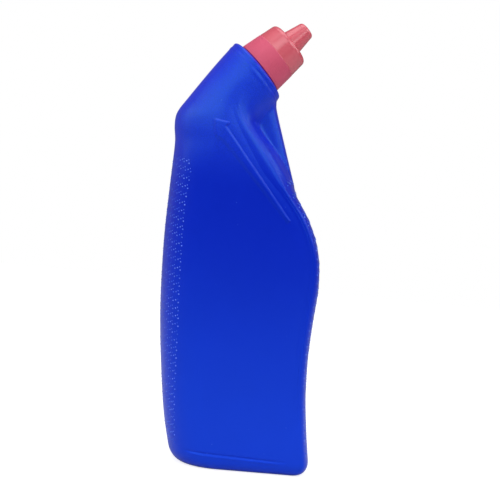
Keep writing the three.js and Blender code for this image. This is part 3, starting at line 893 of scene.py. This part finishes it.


# Cap: sparkling matte skirt up to the step, polished above it; the skirt's pinker tone is partly a painted
# reflection
def cap_plastic():
    material, tree, shader = new_material("red_polypropylene")
    coords = object_place(tree)
    height = math_node(tree, "SUBTRACT", facing(tree, coords, AXIS), float(COLLAR @ AXIS) / 1000.0)
    polished = ramp(tree, height, (CAP_GRIP_END - 0.02) / 1000, (CAP_GRIP_END + 0.06) / 1000)
    matte = math_node(tree, "SUBTRACT", 1.0, polished)
    broad = noise(tree, coords, 120.0, 2.0)
    # Skirt: its own red plus a painted reflection of the pale room and the blue bottle, pinker and bluer than
    # the top
    skirt = mix_colour(tree, broad, (0.555, 0.064, 0.128, 1), (0.615, 0.084, 0.160, 1))
    top = mix_colour(tree, broad, (0.540, 0.056, 0.090, 1), (0.600, 0.074, 0.114, 1))
    feed(tree, shader.inputs["Base Color"], mix_colour(tree, polished, skirt, top))
    feed(tree, shader.inputs["Specular IOR Level"], add(tree, times(tree, polished, 0.70), 0.35))
    feed(tree, shader.inputs["Roughness"], add(tree, times(tree, matte, 0.19), 0.27))
    shader.inputs["IOR"].default_value = 1.5
    grain = noise(tree, coords, 2600.0, 1.0)
    sparkle = times(tree, add(tree, grain, ramp(tree, grain, 0.60, 0.72)), matte)
    add_bump(tree, shader, add(tree, sparkle, times(tree, noise(tree, coords, 60.0, 1.0), 0.04)), 0.45)
    return material


def insert_plastic():
    material, tree, shader = new_material("natural_polyethylene")
    coords = object_place(tree)
    broad = noise(tree, coords, 90.0, 2.0)
    colour = mix_colour(tree, broad, (0.78, 0.79, 0.80, 1), (0.84, 0.85, 0.86, 1))
    feed(tree, shader.inputs["Base Color"], colour)
    feed(tree, shader.inputs["Roughness"], add(tree, times(tree, broad, 0.1), 0.35))
    add_bump(tree, shader, noise(tree, coords, 900.0, 2.0), 0.15)
    return material


# Pieces, each with its body, its slot and the solid that it replaces
def dress(obj, material, body, replaces=None):
    obj.data.materials.clear()
    obj.data.materials.append(material)
    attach(obj, body)
    if replaces:
        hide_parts(replaces)


BLUE, RED, NATURAL = blue_plastic(), cap_plastic(), insert_plastic()
# Material of the grip dots, carrying their painted highlight
GLINT_PAINTED_BLUE = painted_glint_plastic()

shell = build_bottle()
arrow = build_arrow(shell)
dots = build_dots()
neck_thread = thread("neck_thread", root=FINISH_RADIUS, height=0.55, start=5.2, turns=1.6, phase=0.4,
                     inward=False)
cap = build_cap()
cap_thread = thread("cap_thread", root=13.40, height=0.45, start=4.6, turns=1.5, phase=2.2,
                    inward=True, taper=0.0858)
spout = build_insert()

dress(shell, BLUE, "bottle", "bottle")
dress(arrow, BLUE, "bottle")
dress(neck_thread, BLUE, "bottle")
dress(dots, GLINT_PAINTED_BLUE, "bottle")
dress(cap, RED, "cap", "cap")
dress(cap_thread, RED, "cap")
dress(spout, NATURAL, "bottle", "nozzle_insert")

# Camera at the photograph's view: distance in metres, and millimetres of the object for a pixel of the photo
DISTANCE, SCALE = 0.560, 0.552
PHOTO_WIDTH = 500.0
SENSOR_WIDTH = 36.0
AZIMUTH, ELEVATION, ROLL = math.radians(3.0), math.radians(3.0), math.radians(5.6)
TARGET = Vector((-0.0047, 0.0, 0.1188))

# Softboxes: name, azimuth from -Y towards +X, elevation, width, height and radiance; lengths in metres
LAMP_DISTANCE = 1.2
LAMP_TARGET = Vector((0, 0, 0.12))
LAMPS = (("key", -32, 33, 1.60, 0.75, 2.1),
         ("left", -88, 26, 0.60, 0.75, 1.6),
         ("right", 43, 30, 0.65, 0.75, 2.8),
         ("side", 88, 32, 0.30, 0.80, 3.5),
         ("top", 0, 86, 1.00, 1.00, 1.9))
FLOOR_HALF = 1.1
GREY = 0.52
FLOOR_GLOW = 0.76
ROOM_LIGHT, LEFT_WALL_LIGHT, CEILING_LIGHT = 0.23, 0.18, 0.26


def add_camera():
    back = Vector((-math.sin(AZIMUTH) * math.cos(ELEVATION), -math.cos(AZIMUTH) * math.cos(ELEVATION),
                   math.sin(ELEVATION)))
    right = (-back).cross(Vector((0, 0, 1))).normalized()
    up = right.cross(-back)
    picture_right = math.cos(ROLL) * right + math.sin(ROLL) * up
    picture_up = -math.sin(ROLL) * right + math.cos(ROLL) * up
    data = bpy.data.cameras.new("camera")
    data.sensor_width = SENSOR_WIDTH
    data.lens = SENSOR_WIDTH * (DISTANCE * 1000 / SCALE) / PHOTO_WIDTH
    data.clip_start = 0.01
    camera = bpy.data.objects.new("camera", data)
    turn = Matrix((picture_right, picture_up, back)).transposed()
    camera.matrix_world = Matrix.Translation(TARGET + back * DISTANCE) @ turn.to_4x4()
    bpy.context.scene.collection.objects.link(camera)
    bpy.context.scene.camera = camera


def add_softbox(name, azimuth, elevation, width, height, radiance):
    turn, rise = math.radians(azimuth), math.radians(elevation)
    way = Vector((math.sin(turn) * math.cos(rise), -math.cos(turn) * math.cos(rise), math.sin(rise)))
    data = bpy.data.lights.new(name, "AREA")
    data.shape = "RECTANGLE"
    data.size = width
    data.size_y = height
    data.energy = radiance * math.pi * width * height
    light = bpy.data.objects.new(name, data)
    light.location = LAMP_TARGET + way * LAMP_DISTANCE
    light.rotation_euler = (-way).to_track_quat("-Z", "Y").to_euler()
    bpy.context.scene.collection.objects.link(light)


# Pale floor, raised to white for the camera alone, where it keeps the object's shadow
def add_floor():
    h = FLOOR_HALF
    mesh = bpy.data.meshes.new("floor")
    mesh.from_pydata([(-h, -h, 0), (h, -h, 0), (h, h, 0), (-h, h, 0)], [], [(0, 1, 2, 3)])
    floor = bpy.data.objects.new("floor", mesh)
    bpy.context.scene.collection.objects.link(floor)
    material, tree, shader = new_material("pale_floor")
    shader.inputs["Roughness"].default_value = 0.9
    shader.inputs["Specular IOR Level"].default_value = 0.1
    shader.inputs["Emission Color"].default_value = (1, 1, 1, 1)
    seen = node(tree, "ShaderNodeLightPath").outputs["Is Camera Ray"]
    mottled = noise(tree, object_place(tree), 3.0, 2.0)
    tone = mix_colour(tree, mottled, (0.58, 0.58, 0.58, 1), (0.62, 0.62, 0.62, 1))
    feed(tree, shader.inputs["Base Color"], mix_colour(tree, seen, tone, (GREY, GREY, GREY, 1)))
    feed(tree, shader.inputs["Emission Strength"], times(tree, seen, FLOOR_GLOW))
    mesh.materials.append(material)


def white_background(tree, strength):
    made = node(tree, "ShaderNodeBackground")
    made.inputs["Color"].default_value = (1, 1, 1, 1)
    feed(tree, made.inputs["Strength"], strength)
    return made.outputs[0]


# White backdrop for the camera; a dim room with a pale ceiling and a pale wall on the left
def add_world():
    world = bpy.data.worlds.new("studio")
    bpy.context.scene.world = world
    world.use_nodes = True
    tree = world.node_tree
    tree.nodes.clear()
    way = node(tree, "ShaderNodeTexCoord").outputs["Generated"]

    def lobe(direction, wide, narrow, strength):
        towards = facing(tree, way, Vector(direction).normalized())
        return times(tree, ramp(tree, towards, wide, narrow), strength)
    left = lobe((-0.95, 0.10, 0.10), 0.55, 0.90, LEFT_WALL_LIGHT)
    above = lobe((0.10, 0.05, 1.00), 0.60, 0.95, CEILING_LIGHT)
    room = add(tree, add(tree, left, above), ROOM_LIGHT)
    mixed = node(tree, "ShaderNodeMixShader")
    feed(tree, mixed.inputs[0], node(tree, "ShaderNodeLightPath").outputs["Is Camera Ray"])
    feed(tree, mixed.inputs[1], white_background(tree, room))
    feed(tree, mixed.inputs[2], white_background(tree, 1.0))
    feed(tree, node(tree, "ShaderNodeOutputWorld").inputs[0], mixed.outputs[0])


add_camera()
add_floor()
add_world()
for lamp in LAMPS:
    add_softbox(*lamp)

bpy.context.scene.view_settings.view_transform = "Standard"
